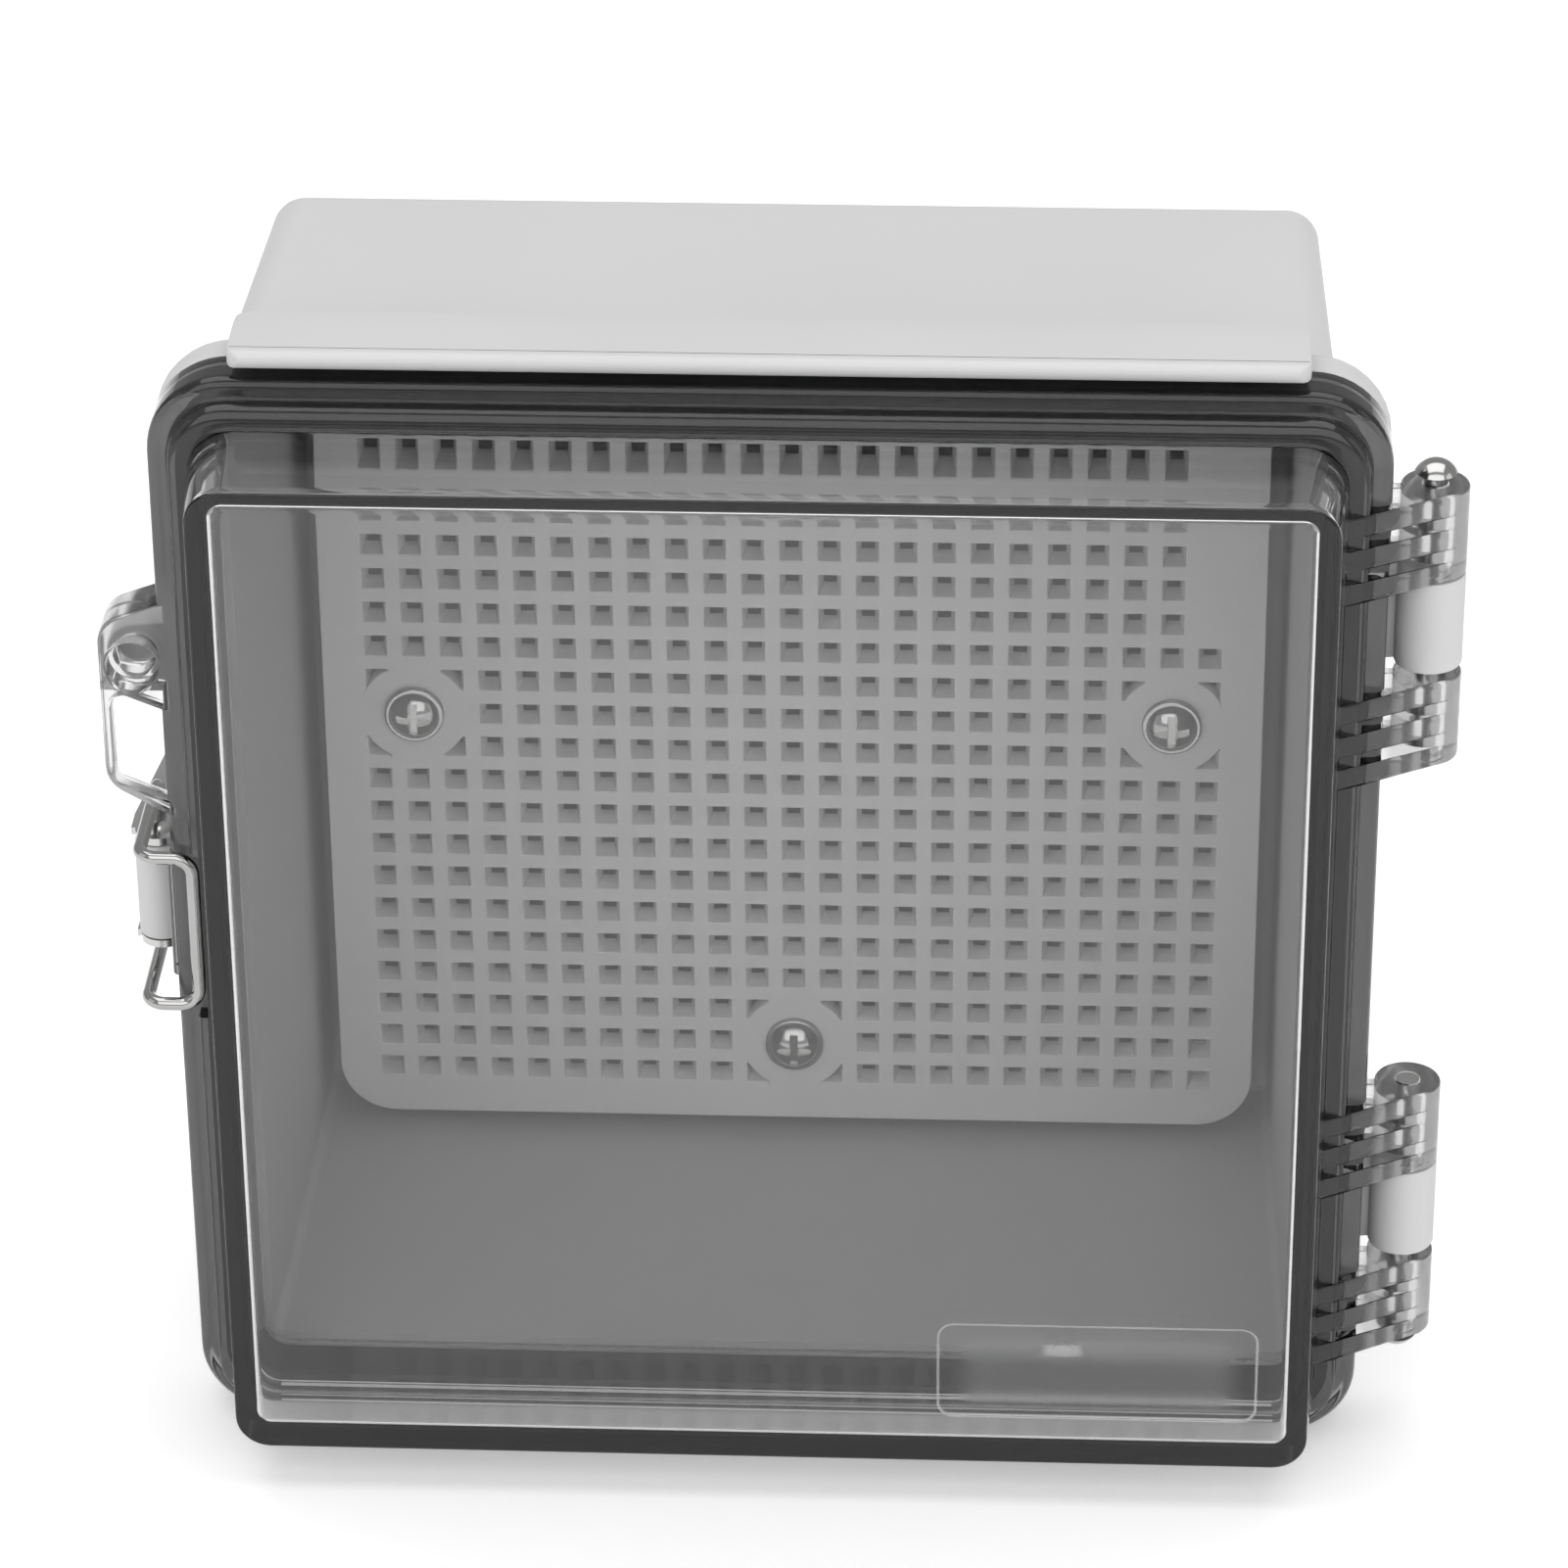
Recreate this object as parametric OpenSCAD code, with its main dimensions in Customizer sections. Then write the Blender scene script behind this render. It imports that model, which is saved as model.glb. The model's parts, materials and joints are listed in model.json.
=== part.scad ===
// Hinged junction box: drafted grey body with a rain visor, smoke-clear cover on two pin hinges,
// wire bail latch, padlock eye, seal and perforated mounting plate.
// Frame: origin at the centre of the back face, X to the right, Y into the wall, Z up.
// Depths are measured forward from the back face, so a depth d lies at Y = -d.

/* [Body] */
// Width and height of the body where its walls meet the flange
body_w = 138; // [110:0.5:180]
// Depth of the body from its back to the parting face
body_depth = 66; // [50:0.5:110]
// How far each wall leans in from the flange to the back
body_draft = 1.3; // [0:0.1:3]
// Thickness of the side walls
wall_t = 2.8; // [2:0.1:4]
// Thickness of the back wall
back_t = 3; // [2:0.1:5]
// Radius of the outer edges of the body
edge_r = 4.2; // [2.5:0.1:6]

/* [Flange] */
// How far the flange stands out from the body walls
flange_out = 6; // [6:0.1:9]
// Corner radius of the flange
flange_r = 10; // [8:0.5:14]
// Thickness of the body's flange
body_flange_t = 5.4; // [4:0.1:8]
// Rounding of the back edge of the body's flange
flange_edge_r = 1.4; // [0.5:0.1:2]
// Rounding of that flange at the parting line
parting_edge_r = 0.4; // [0.2:0.1:0.8]
// Gap between the two flanges when the cover is shut
parting_gap = 0.2; // [0.1:0.05:0.5]

/* [Cover] */
// Depth of the cover from its parting face to its front
cover_depth = 23.8; // [18:0.2:60]
// Thickness of the cover's flange
cover_flange_t = 6.8; // [6:0.1:9]
// Height of the step on the cover's flange
tier_t = 2.6; // [1:0.1:3.5]
// How far the step lies inside the flange's edge
tier_inset = 2.7; // [1.5:0.1:3.5]
// How far the root of the cover's wall lies inside the flange's edge
cover_wall_inset = 5.4; // [5:0.1:6]
// How far the cover's wall leans in from its root to the front
cover_draft = 1.1; // [0.5:0.1:2]
// Thickness of the cover's wall
cover_wall_t = 2.5; // [1.8:0.1:3]
// Thickness of the front panel
panel_t = 2.5; // [2:0.1:4]
// Corner radius of the front panel
panel_r = 4.5; // [3.5:0.1:7]
// Rounding of the front edge
front_edge_r = 1.5; // [0.5:0.1:2]
// Fillet inside the front panel's edge
inner_edge_r = 2; // [0.5:0.1:3]
// How far the cover's walls bow out at mid depth
wall_bow = 0.06; // [0:0.01:0.2]

/* [Label field] */
// Width of the sunk field on the front panel
label_w = 40.2; // [30:0.2:60]
// Height of the field
label_h = 13.9; // [8:0.1:20]
// Corner radius of the field
label_r = 2; // [1:0.1:4]
// Depth of the field
label_sink = 0.15; // [0.1:0.05:0.4]
// Distance of the field's right end from the flange's edge
label_side = 13.3; // [12:0.1:30]
// Distance of the field's lower side from the flange's edge
label_low = 13.8; // [12:0.1:30]
// Diameter of the gate mark left standing in the field
gate_d = 2.4; // [1.5:0.1:4]
// Place of the gate mark across the field, as a share of its width
gate_share = 0.39; // [0.2:0.01:0.8]

/* [Seal] */
// Distance of the seal's centre line from the flange's edge
seal_inset = 5.3; // [4.6:0.1:5.4]
// Width of the seal
seal_w = 3; // [2:0.1:3.2]
// Depth of the seal's groove in the cover
groove_depth = 3; // [2:0.1:3.6]
// Corner radius of the seal's centre line
seal_r = 6; // [5:0.5:8]
// Thickness of the body's rib that presses on the seal
tongue_t = 1.6; // [1:0.1:1.8]
// Height of that rib above the body's flange
tongue_h = 1; // [0.5:0.1:1.4]
// Side clearance of the seal in its groove
seal_gap = 0.1; // [0.05:0.05:0.2]

/* [Visor] */
// Distance of each end of the visor from the flange's side
visor_inset = 10.2; // [8:0.1:20]
// Gap over the cover's flange
visor_gap = 1.3; // [0.6:0.1:2]
// Thickness of the visor
visor_t = 2.4; // [1.8:0.1:4]
// Reach of the visor in front of the parting face
visor_reach = 7.4; // [5:0.1:10]
// Drop of the visor's top at its back edge
visor_fall = 0.3; // [0.1:0.1:1.2]
// Length of that sloping strip
visor_slope_l = 4; // [2:0.5:6]
// Corner radius of the visor in plan
visor_r = 2.2; // [1:0.1:3]

/* [Mounting plate] */
// Depth of the plate's front face
plate_front = 17.3; // [15:0.1:24]
// Thickness of the plate
plate_t = 3; // [2:0.1:4]
// Gap between the plate's edge and the body's wall
plate_gap = 3.1; // [1:0.1:6]
// Corner radius of the plate
plate_r = 7.5; // [4:0.5:12]
// Pitch of the square holes
hole_pitch = 5; // [4.5:0.1:7]
// Width of a square hole
hole_w = 3; // [2:0.1:3.4]
// Least rim between the holes and the plate's edge
hole_rim = 5; // [4:0.5:10]
// Rows at the top of the last column that are left solid
solid_rows = 9; // [0:1:11]
// Distance of the plate's screws from its edge
screw_inset = 12; // [10:0.5:20]
// Radius of the solid disc round each screw
screw_disc_r = 7.2; // [5.5:0.1:8]

/* [Fixings] */
// Diameter of the bosses inside the body
boss_d = 9; // [7:0.5:12]
// Shank diameter of a plate screw
screw_d = 3.5; // [2.5:0.1:4]
// Length of a plate screw under its head
screw_l = 11; // [8:0.5:12]
// Diameter of the screw's collar
screw_collar_d = 7.9; // [6.5:0.1:9]
// Thickness of the screw's collar
screw_collar_t = 0.9; // [0.6:0.1:1.4]
// Diameter of the screw's domed head
screw_head_d = 6; // [5:0.1:6.4]
// Height of the screw's domed head
screw_head_h = 1.7; // [1:0.1:2.4]
// Length of the cross slots in the head
cross_l = 4; // [2:0.1:5]
// Width of the cross slots
cross_w = 0.9; // [0.6:0.1:1.4]
// Depth of the cross slots
cross_depth = 1.1; // [0.6:0.1:1.6]
// Diameter of the wall fixing holes
wall_hole_d = 3.6; // [2.5:0.1:4.5]
// Depth of the wall fixing holes
wall_hole_l = 11; // [6:0.5:12]
// Distance of the wall fixing holes from the back's edges
wall_hole_inset = 12.7; // [11:0.1:20]
// Clearance round a screw's shank
screw_gap = 0.1; // [0.05:0.05:0.3]
// Diameter of the plate's screw holes
plate_hole_d = 4.1; // [3:0.1:5]

/* [Hinges] */
// Distance of the hinge axis from the flange's edge
hinge_out = 5.4; // [5:0.1:8]
// Distance of each hinge's middle from the flange's top or bottom
hinge_inset = 32.7; // [30:0.1:40]
// Outer diameter of the hinge barrels
barrel_d = 8.4; // [7:0.1:9]
// Length of the body's barrel in each hinge
barrel_l = 12.4; // [10:0.1:15]
// Length of each of the cover's barrels
lug_l = 11.7; // [9:0.1:14]
// Gap over the body's barrel
barrel_gap = 0.15; // [0.1:0.05:0.4]
// Gap under the body's barrel
barrel_play = 1.1; // [0.1:0.1:1.5]
// Thickness of the ribs that carry the cover's barrels
rib_t = 2.75; // [2:0.05:3.5]
// Slope of the ribs' front edge
rib_slope = 42; // [35:1:50]
// How far the ribs stand in front of the step on the flange
rib_proud = 1.2; // [0:0.1:2]
// Diameter of the hinge pins
hinge_pin_d = 3; // [2:0.1:4]
// Diameter of the pin's domed head
pin_head_d = 5.2; // [4.4:0.1:6.5]
// Height of the pin's domed head
pin_head_h = 1.6; // [1:0.1:2.5]
// How far the pin's head stands off its barrel
pin_proud = 1.5; // [0:0.1:2.5]
// Radial clearance of every pin in its hole
pin_gap = 0.06; // [0.03:0.01:0.1]

/* [Latch] */
// Height of the latch's middle above the box's middle
latch_z = -1.2; // [-8:0.2:0]
// Distance of the lever's pivot from the flange's edge
pivot_out = 3.2; // [3:0.1:5]
// Distance of the lever's pivot behind the parting face
pivot_back = 4; // [3.2:0.1:6]
// Diameter of the body's latch barrel
latch_barrel_d = 6; // [5:0.1:6]
// Length of the body's latch barrel
latch_barrel_l = 13.6; // [10:0.2:16]
// Thickness of that barrel's foot
latch_foot_t = 3.6; // [2.5:0.1:4]
// Diameter of the lever's pivot pin
latch_pin_d = 2.4; // [1.6:0.1:3]
// Diameter of that pin's riveted heads
rivet_d = 3.6; // [3:0.1:4.5]
// Height of those heads
rivet_h = 0.7; // [0.4:0.1:1.2]
// Sheet thickness of the lever
sheet_t = 1; // [0.8:0.1:1.4]
// Length of the lever behind its pivot
lever_l = 27; // [24:0.5:32]
// How far the lever leans towards the body at its tip
lever_lean = 2.6; // [2:0.1:4]
// Length of the lever's bent finger lip
lip_l = 4; // [2:0.1:6]
// How far the lip stands out
lip_out = 2; // [1:0.1:3]
// Distance from the lever's pivot to the outside of its web
web_out = 3.4; // [3:0.1:4.5]
// Side clearance between the lever and the barrel
lever_gap = 0.15; // [0.1:0.05:0.4]
// Gap between the barrel and the lever's web
web_gap = 0.6; // [0.3:0.1:1]
// Distance of the bail's pivot behind the lever's pivot
bail_back = 8; // [6:0.2:10]
// Distance of the bail's pivot outside the lever's pivot
bail_out = 0.8; // [0:0.1:1.2]
// Wire diameter of the bail
wire_d = 1.7; // [1.2:0.1:2]
// Bend radius of the wire at its centre line
wire_bend = 2.4; // [2:0.1:3]
// Distance between the centre lines of the bail's arms
bail_w = 21.2; // [20:0.2:26]
// Distance of the bail's front leg inside the flange's edge
bail_catch = 2.8; // [2:0.1:3]
// How far the keeper pad stands out from the flange's edge
keeper_out = 0.7; // [0.4:0.1:1]
// Length of the keeper pad
keeper_l = 16.8; // [14:0.1:18]
// Gap between the bail's front leg and the flange
bail_gap = 0.3; // [0.2:0.05:0.6]
// How far the bail's ends reach inside the lever's ears
bail_tail = 0.6; // [0.3:0.1:1]

/* [Padlock eye] */
// Height of the eye above the box's middle
eye_z = 35.6; // [32:0.2:44]
// Distance of the eye from the flange's edge
eye_out = 3.4; // [3.2:0.1:5]
// Diameter of the eye
eye_d = 5.2; // [4:0.1:5.4]
// Width of the rim round the eye
eye_rim = 1.5; // [1.2:0.1:2.5]
// Depth of the recess round the eye
eye_recess = 3.2; // [1:0.1:4.5]
// Width of that recess's ledge
recess_ledge = 0.7; // [0.4:0.1:1]
// How far the body's half of the eye stays inside the cover's
eye_step = 0.4; // [0:0.1:1]
// Height of the cover's half above the eye
eye_rise = 3.1; // [0.6:0.1:4]
// Height of the open window under the eye
window_h = 15.2; // [10:0.1:16]
// Corner radius of the window
window_r = 1.5; // [0.5:0.1:1.7]
// How far the window's ends slope across its width
window_slope = 2.6; // [1:0.1:3.5]
// Width of the loop round the window
loop_w = 1.2; // [0.8:0.1:2]
// Thickness of that loop
loop_t = 3; // [2:0.1:5]

/* [Hidden] */
$fn = 64;
round_fn = 32;
slip = 0.01;
over = 1;
least_r = 0.5;
ends = [-1, 1];

body_grey = [0.84, 0.84, 0.84];
smoke_clear = [0.33, 0.34, 0.35, 0.55];
rubber_black = [0.10, 0.10, 0.11];
plate_grey = [0.72, 0.72, 0.72];
steel = [0.78, 0.78, 0.79];

mouth = body_w / 2;
back_half = mouth - body_draft;
flange = mouth + flange_out;
flange_back = body_depth - body_flange_t;
cover_back = body_depth + parting_gap;
cover_front = cover_back + cover_depth;
flange_front = cover_back + cover_flange_t;
tier_front = flange_front + tier_t;
inner_r = max(edge_r - wall_t, 1);

seal_half = flange - seal_inset;
groove_w = seal_w + 2 * seal_gap;
groove_floor = cover_back + groove_depth;
seal_back = body_depth + tongue_h + seal_gap;

plate_back = plate_front - plate_t;
wall_lean = body_draft * (1 - plate_front / flange_back);
plate_half = mouth - wall_t - wall_lean - plate_gap;
holes_out = floor((plate_half - hole_rim - hole_w / 2) / hole_pitch);
screw_at = plate_half - screw_inset;
screw_places = [[-screw_at, 0], [screw_at, 0], [0, -screw_at], [0, screw_at]];
wall_hole_at = back_half - wall_hole_inset;

hinge_x = flange + hinge_out;
hinge_depth = cover_back;
hinge_z = flange - hinge_inset;
rib_step = (lug_l - rib_t) / 2;
rib_front = tier_front + rib_proud;
tangent_x = hinge_x + barrel_d / 2 * sin(rib_slope);
tangent_depth = hinge_depth + barrel_d / 2 * cos(rib_slope);
rib_corner_x = tangent_x - (rib_front - tangent_depth) / tan(rib_slope);
upper_lug = barrel_l / 2 + barrel_gap;
lower_lug = -barrel_l / 2 - barrel_play - lug_l;
hinge_top = upper_lug + lug_l;
foot_turn = 30;

pivot_x = -flange - pivot_out;
pivot_depth = body_depth - pivot_back;
ear_r = latch_barrel_d / 2 - lever_gap;
lever_half = latch_barrel_l / 2 + lever_gap;
bail_pivot_x = pivot_x - bail_out;
bail_pivot_depth = pivot_depth - bail_back;
web_x = pivot_x - web_out;
web_start = pivot_depth - latch_barrel_d / 2 - web_gap;
tip_x = web_x + lever_lean;
tip = pivot_depth - lever_l;
leg_x = -flange + bail_catch;
leg_depth = flange_front + bail_gap + wire_d / 2;

eye_x = -flange - eye_out;
eye_rim_r = eye_d / 2 + eye_rim;
root_x = -flange + eye_rim;
window_top = eye_z - eye_rim_r;
window_low = window_top - window_h;
window_x = eye_x - eye_rim_r + loop_w + window_r;

// A flat shape drawn in X and Z, given thickness between two depths
module layer(from, to) {
    translate([0, -from, 0])
        rotate([90, 0, 0])
            linear_extrude(to - from)
                children();
}

// A square with round corners, drawn as half its width
module rounded(half, r) {
    square([2 * half, 2 * (half - r)], center = true);
    square([2 * (half - r), 2 * half], center = true);
    for (x = ends, z = ends)
        translate([x * (half - r), z * (half - r)])
            circle(r);
}

// A round-cornered square ring on a centre line
module ring(half, r, width) {
    difference() {
        rounded(half + width / 2, r + width / 2);
        rounded(half - width / 2, r - width / 2);
    }
}

// The four corners of a square, as discs at one depth
module corner_discs(half, r, depth) {
    for (x = ends, z = ends)
        translate([x * (half - r), -depth, z * (half - r)])
            rotate([90, 0, 0])
                cylinder(r = r, h = slip, $fn = round_fn);
}

// A drafted box with a round back edge, open ended at its front
module drafted(back, front, from, to, r) {
    hull() {
        for (x = ends, z = ends)
            translate([x * (back - r), -from - r, z * (back - r)])
                rotate([90, 0, 0])
                    sphere(r, $fn = round_fn);
        layer(from, from + slip)
            square(2 * (back - r), center = true);
        corner_discs(front, r, to - slip);
    }
}

// A round-cornered square slab with rounded back and front edges
module soft_slab(half, r, from, to, back_r, front_r) {
    hull()
        for (turn = [0:30:90]) {
            corner_discs(half - back_r * (1 - cos(turn)), r - back_r * (1 - cos(turn)), from + back_r * (1 - sin(turn)));
            corner_discs(half - front_r * (1 - cos(turn)), r - front_r * (1 - cos(turn)),
                to - slip - front_r * (1 - sin(turn)));
        }
}

// A round bar along Z, between two heights
module post(x, depth, d, low, high) {
    translate([x, -depth, low])
        cylinder(d = d, h = high - low);
}

// A round bar along the depth
module stud(x, z, d, from, to) {
    translate([x, -from, z])
        rotate([90, 0, 0])
            cylinder(d = d, h = to - from);
}

// Shape in X and depth, given height
module shelf(low, high) {
    translate([0, 0, low])
        mirror([0, 1, 0])
            linear_extrude(high - low)
                children();
}

module body() {
    color(body_grey)
        difference() {
            union() {
                drafted(back_half, mouth, 0, flange_back + slip, edge_r);
                soft_slab(flange, flange_r, flange_back, body_depth, flange_edge_r, parting_edge_r);
                layer(body_depth, body_depth + tongue_h)
                    ring(seal_half, seal_r, tongue_t);
                visor();
                hinge_barrels();
                latch_barrel();
                body_eye();
            }
            body_cavity();
            wall_holes();
            for (side = ends)
                post(hinge_x, hinge_depth, hinge_pin_d + 2 * pin_gap, side * hinge_z - barrel_l,
                    side * hinge_z + barrel_l);
            post(pivot_x, pivot_depth, latch_pin_d + 2 * pin_gap, latch_z - latch_barrel_l,
                latch_z + latch_barrel_l);
            stud(eye_x, eye_z, eye_d, flange_back - over, body_depth + over);
        }
}

// The hollow of the body, less its bosses
module body_cavity() {
    difference() {
        drafted(back_half - wall_t, mouth - wall_t, back_t, body_depth + tongue_h + over, inner_r);
        for (place = screw_places)
            difference() {
                stud(place[0], place[1], boss_d, 0, plate_back);
                stud(place[0], place[1], screw_d + 2 * screw_gap, plate_front - screw_l - over, plate_back + over);
            }
        for (x = ends, z = ends)
            stud(x * wall_hole_at, z * wall_hole_at, boss_d, 0, plate_back);
    }
}

module wall_holes() {
    for (x = ends, z = ends)
        stud(x * wall_hole_at, z * wall_hole_at, wall_hole_d, -over, wall_hole_l);
}

// Rain visor over the cover's top edge
module visor() {
    low = flange + visor_gap;
    high = low + visor_t;
    nose = visor_t / 2;
    front = body_depth + visor_reach;
    half = flange - visor_inset;
    intersection() {
        translate([-half, 0, 0])
            rotate([90, 0, 90])
                linear_extrude(2 * half)
                    union() {
                        polygon([[-flange_back, flange - over], [-flange_back, high - visor_fall],
                            [-flange_back - visor_slope_l, high], [nose - front, high], [nose - front, low],
                            [-body_depth, low], [-body_depth, flange - over]]);
                        translate([nose - front, low + nose])
                            circle(nose);
                    }
        translate([0, 0, flange - 2 * over])
            linear_extrude(visor_t + visor_gap + 4 * over)
                visor_plan(half, front);
    }
}

module visor_plan(half, front) {
    translate([-half, visor_r - front])
        square([2 * half, front - flange_back - 2 * visor_r]);
    translate([visor_r - half, -front])
        square([2 * (half - visor_r), front - flange_back]);
    for (x = ends, depth = [front - visor_r, flange_back + visor_r])
        translate([x * (half - visor_r), -depth])
            circle(visor_r);
}

// The middle barrel of each hinge, with its foot on the flange
module hinge_barrels() {
    for (side = ends) {
        low = side * hinge_z - barrel_l / 2;
        high = side * hinge_z + barrel_l / 2;
        post(hinge_x, hinge_depth, barrel_d, low, high);
        shelf(low, high)
            polygon([[flange - over, flange_back], [flange - over, body_depth], [hinge_x, body_depth],
                [hinge_x - barrel_d / 2 * sin(foot_turn), hinge_depth - barrel_d / 2 * cos(foot_turn)]]);
    }
}

// The barrel that carries the lever, with its foot on the flange
module latch_barrel() {
    low = latch_z - latch_barrel_l / 2;
    high = latch_z + latch_barrel_l / 2;
    post(pivot_x, pivot_depth, latch_barrel_d, low, high);
    shelf(low, high)
        translate([pivot_x, pivot_depth - latch_foot_t / 2])
            square([pivot_out + over, latch_foot_t]);
}

// The body's half of the padlock eye
module body_eye() {
    layer(flange_back, body_depth)
        hull() {
            translate([eye_x, eye_z])
                circle(eye_rim_r - eye_step, $fn = round_fn);
            translate([root_x, eye_z - eye_rim_r])
                square([slip, 2 * eye_rim_r]);
        }
}

module cover() {
    color(smoke_clear)
        difference() {
            union() {
                layer(cover_back, flange_front)
                    rounded(flange, flange_r);
                layer(flange_front, tier_front)
                    rounded(flange - tier_inset, flange_r - tier_inset);
                cover_dome();
                hinge_lugs();
                cover_eye();
                keeper();
            }
            cover_cavity();
            label_field();
            bail_seat();
            layer(cover_back - over, groove_floor)
                ring(seal_half, seal_r, groove_w);
            for (side = ends)
                post(hinge_x, hinge_depth, hinge_pin_d + 2 * pin_gap, side * hinge_z + lower_lug - over,
                    side * hinge_z + hinge_top + over);
            stud(eye_x, eye_z, eye_d, cover_back - over, flange_front + over);
        }
}

// The raised part of the cover, with a rounded front edge
module cover_dome() {
    root = flange - cover_wall_inset;
    panel = root - cover_draft;
    rise = cover_front - front_edge_r - tier_front;
    hull() {
        for (share = [0, 0.35, 0.7])
            corner_discs(root - cover_draft * share + 4 * wall_bow * share * (1 - share),
                panel_r + cover_draft * (1 - share), tier_front - slip + rise * share);
        for (turn = [0:30:90])
            corner_discs(panel - front_edge_r * (1 - cos(turn)), panel_r - front_edge_r * (1 - cos(turn)),
                cover_front - slip - front_edge_r * (1 - sin(turn)));
    }
}

module cover_cavity() {
    root = flange - cover_wall_inset - cover_wall_t;
    inner = panel_r + cover_draft - cover_wall_t;
    hull() {
        corner_discs(root, inner, cover_back - over);
        corner_discs(root, inner, tier_front);
        for (turn = [0:30:90])
            corner_discs(root - cover_draft - inner_edge_r * (1 - cos(turn)),
                max(inner - cover_draft - inner_edge_r * (1 - cos(turn)), least_r),
                cover_front - panel_t - slip - inner_edge_r * (1 - sin(turn)));
    }
}

// A shallow field for a label on the front panel, round the mark of the gate
module label_field() {
    half_w = label_w / 2 - label_r;
    half_h = label_h / 2 - label_r;
    layer(cover_front - label_sink, cover_front + over)
        translate([flange - label_side - label_w / 2, label_low + label_h / 2 - flange])
            difference() {
                union() {
                    square([label_w, 2 * half_h], center = true);
                    square([2 * half_w, label_h], center = true);
                    for (x = ends, z = ends)
                        translate([x * half_w, z * half_h])
                            circle(label_r);
                }
                translate([(gate_share - 0.5) * label_w, label_h / 4])
                    circle(d = gate_d);
            }
}

// Pad on the flange's edge under the bail's front leg
module keeper() {
    mid = latch_z + bail_w / 2 - wire_d / 2 - bail_gap - bail_gap - keeper_l / 2;
    shelf(mid - keeper_l / 2, mid + keeper_l / 2) {
        translate([-flange - keeper_out, cover_back + 2 * keeper_out])
            square([2 * keeper_out + over, cover_flange_t - 4 * keeper_out]);
        for (depth = [cover_back + 2 * keeper_out, flange_front - 2 * keeper_out])
            translate([-flange, depth])
                circle(keeper_out);
    }
}

// Notch in the step of the flange, where the bail's front leg lies
module bail_seat() {
    half = bail_w / 2 + wire_d / 2 + bail_gap;
    layer(flange_front, tier_front + over)
        translate([-flange - over, latch_z - half])
            square([leg_x + wire_d / 2 + bail_gap + flange + over, 2 * half]);
}

// The outer barrels of both hinges, each on three ribs
module hinge_lugs() {
    for (side = ends, start = [lower_lug, upper_lug]) {
        low = side * hinge_z + start;
        post(hinge_x, hinge_depth, barrel_d, low, low + lug_l);
        for (rib = [0:2])
            shelf(low + rib * rib_step, low + rib * rib_step + rib_t)
                polygon([[flange - cover_wall_inset - over, cover_back + groove_depth + over],
                    [flange - cover_wall_inset - over, rib_front], [rib_corner_x, rib_front],
                    [tangent_x, tangent_depth], [hinge_x, hinge_depth], [flange - over, cover_back],
                    [flange - over, cover_back + groove_depth + over]]);
    }
}

// The cover's half of the padlock eye, with an open window in a thin loop below it
module cover_eye() {
    difference() {
        layer(cover_back, flange_front)
            hull() {
                translate([eye_x, eye_z + eye_rise])
                    circle(eye_rim_r, $fn = round_fn);
                translate([root_x, window_low - 2 * loop_w])
                    square([slip, eye_z + eye_rise + 1.5 * eye_rim_r - window_low + 2 * loop_w]);
                translate([eye_x, window_low + 2 * window_slope])
                    circle(eye_rim_r, $fn = round_fn);
            }
        layer(cover_back - over, flange_front + over)
            hull() {
                for (z = [window_top - window_r, window_low + window_slope + window_r])
                    translate([window_x, z])
                        circle(window_r, $fn = round_fn);
                for (z = [window_top - window_slope - window_r, window_low + window_r])
                    translate([-flange + window_r, z])
                        circle(window_r, $fn = round_fn);
            }
        layer(cover_back - over, flange_front - loop_t)
            translate([eye_x - 2 * eye_rim_r, window_low - window_h])
                square([4 * eye_rim_r, 2 * window_h]);
        stud(eye_x, eye_z, eye_d + 2 * recess_ledge, flange_front - eye_recess, flange_front + over);
    }
}

module gasket() {
    color(rubber_black)
        layer(seal_back, groove_floor)
            ring(seal_half, seal_r, seal_w);
}

module mounting_plate() {
    color(plate_grey)
        layer(plate_back, plate_front)
            difference() {
                rounded(plate_half, plate_r);
                difference() {
                    hole_grid();
                    for (place = screw_places)
                        translate(place)
                            circle(screw_disc_r);
                }
                for (place = screw_places)
                    translate(place)
                        circle(d = plate_hole_d);
            }
}

// Square holes on a grid, with the top of the last column left solid
module hole_grid() {
    for (column = [-holes_out:holes_out], row = [-holes_out:holes_out])
        if (column < holes_out || row <= holes_out - solid_rows)
            translate([column * hole_pitch, row * hole_pitch])
                square(hole_w, center = true);
}

// Collared screw with a domed, cross-slotted head
module plate_screw(place) {
    color(steel)
        translate([place[0], -plate_front, place[1]])
            rotate([90, 0, 0])
                difference() {
                    union() {
                        cylinder(d = screw_collar_d, h = screw_collar_t);
                        translate([0, 0, screw_collar_t])
                            domed_head(screw_head_d, screw_head_h);
                        translate([0, 0, -screw_l])
                            cylinder(d = screw_d, h = screw_l + slip);
                    }
                    for (turn = [0, 90])
                        rotate([0, 0, turn])
                            translate([0, 0, screw_collar_t + screw_head_h])
                                cube([cross_l, cross_w, 2 * cross_depth], center = true);
                }
}

// A domed cap of a given diameter and height, on the plane Z = 0
module domed_head(d, h) {
    ball_r = (d * d / 4 + h * h) / (2 * h);
    rotate_extrude()
        intersection() {
            translate([0, h - ball_r])
                circle(ball_r);
            square([d, h]);
        }
}

// A hinge pin with its head over the top barrel, or under the bottom one when turned over
module hinge_pin(side) {
    far = side > 0 ? lower_lug : -hinge_top;
    near = side > 0 ? hinge_top : -lower_lug;
    color(steel)
        translate([hinge_x, -hinge_depth, side * hinge_z])
            mirror([0, 0, side < 0 ? 1 : 0]) {
                translate([0, 0, far])
                    cylinder(d = hinge_pin_d, h = near + pin_proud + slip - far);
                translate([0, 0, near + pin_proud])
                    domed_head(pin_head_d, pin_head_h);
            }
}

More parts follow.
